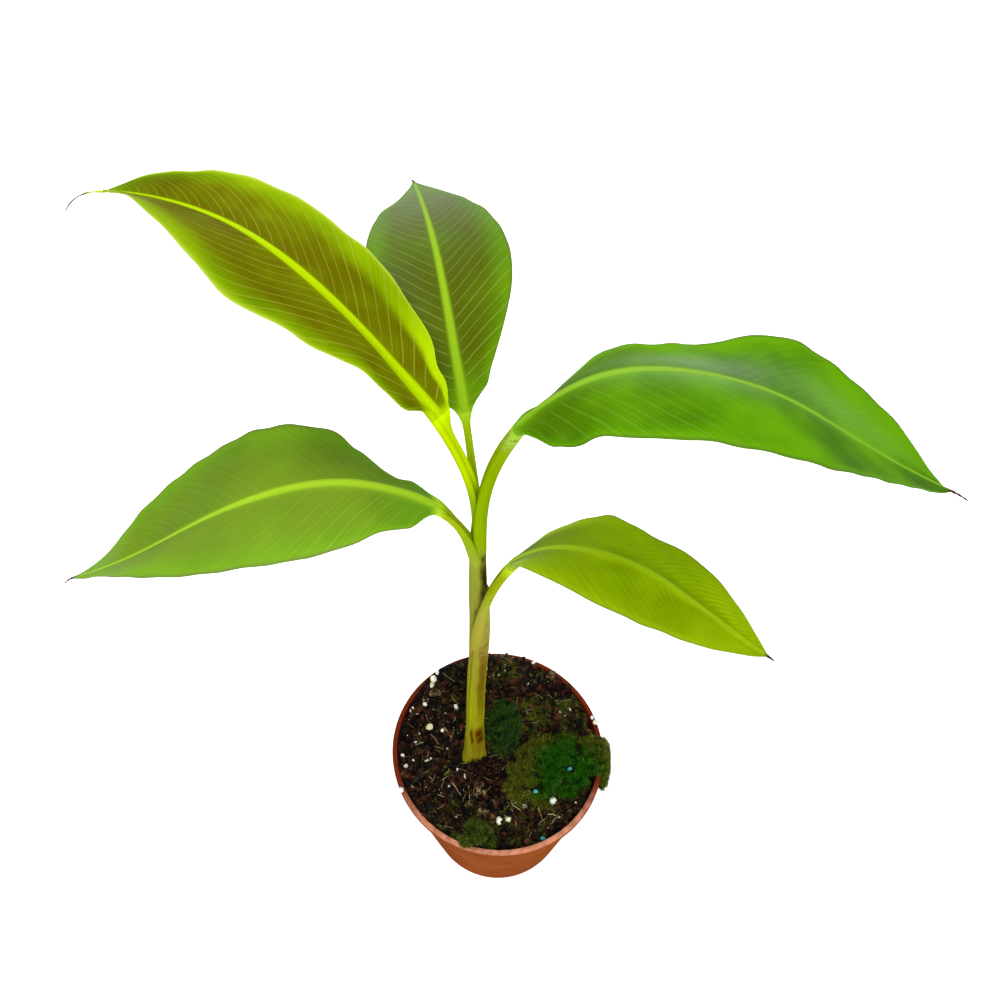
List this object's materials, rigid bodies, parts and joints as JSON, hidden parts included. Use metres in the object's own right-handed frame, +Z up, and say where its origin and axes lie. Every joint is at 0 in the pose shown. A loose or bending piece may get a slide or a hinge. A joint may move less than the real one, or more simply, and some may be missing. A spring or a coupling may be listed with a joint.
{
  "type": "banana plant",
  "caption": "Young potted banana plant: a leaning pseudostem in a round nursery pot, with broad paddle-shaped leaves spreading on curved petioles.",
  "frame": {"origin": "centre of the pot's flat underside", "axes": "+Z up out of the pot, +X to the right across the pot towards the moss and the longest right-hand leaf, +Y towards the back, the way the pseudostem leans"},
  "size_m": [0.3904, 0.2336, 0.4123],
  "materials": {
    "pot": "satin moulded plastic, terracotta colour",
    "soil": "damp peat and bark potting mix",
    "moss": "matt living moss",
    "pseudostem": "smooth waxy leaf sheaths",
    "petiole": "smooth waxy petiole",
    "leaf": "satin living leaf"
  },
  "bodies": {
    "root": {"pot": "pot", "soil": "soil", "moss_right": "moss", "moss_back": "moss", "moss_front": "moss", "pseudostem": "pseudostem", "petiole_1": "petiole", "leaf_1": "leaf", "petiole_2": "petiole", "leaf_2": "leaf", "petiole_3": "petiole", "leaf_3": "leaf", "petiole_4": "petiole", "leaf_4": "leaf", "petiole_5": "petiole", "leaf_5": "leaf"}
  },
  "joints": []
}
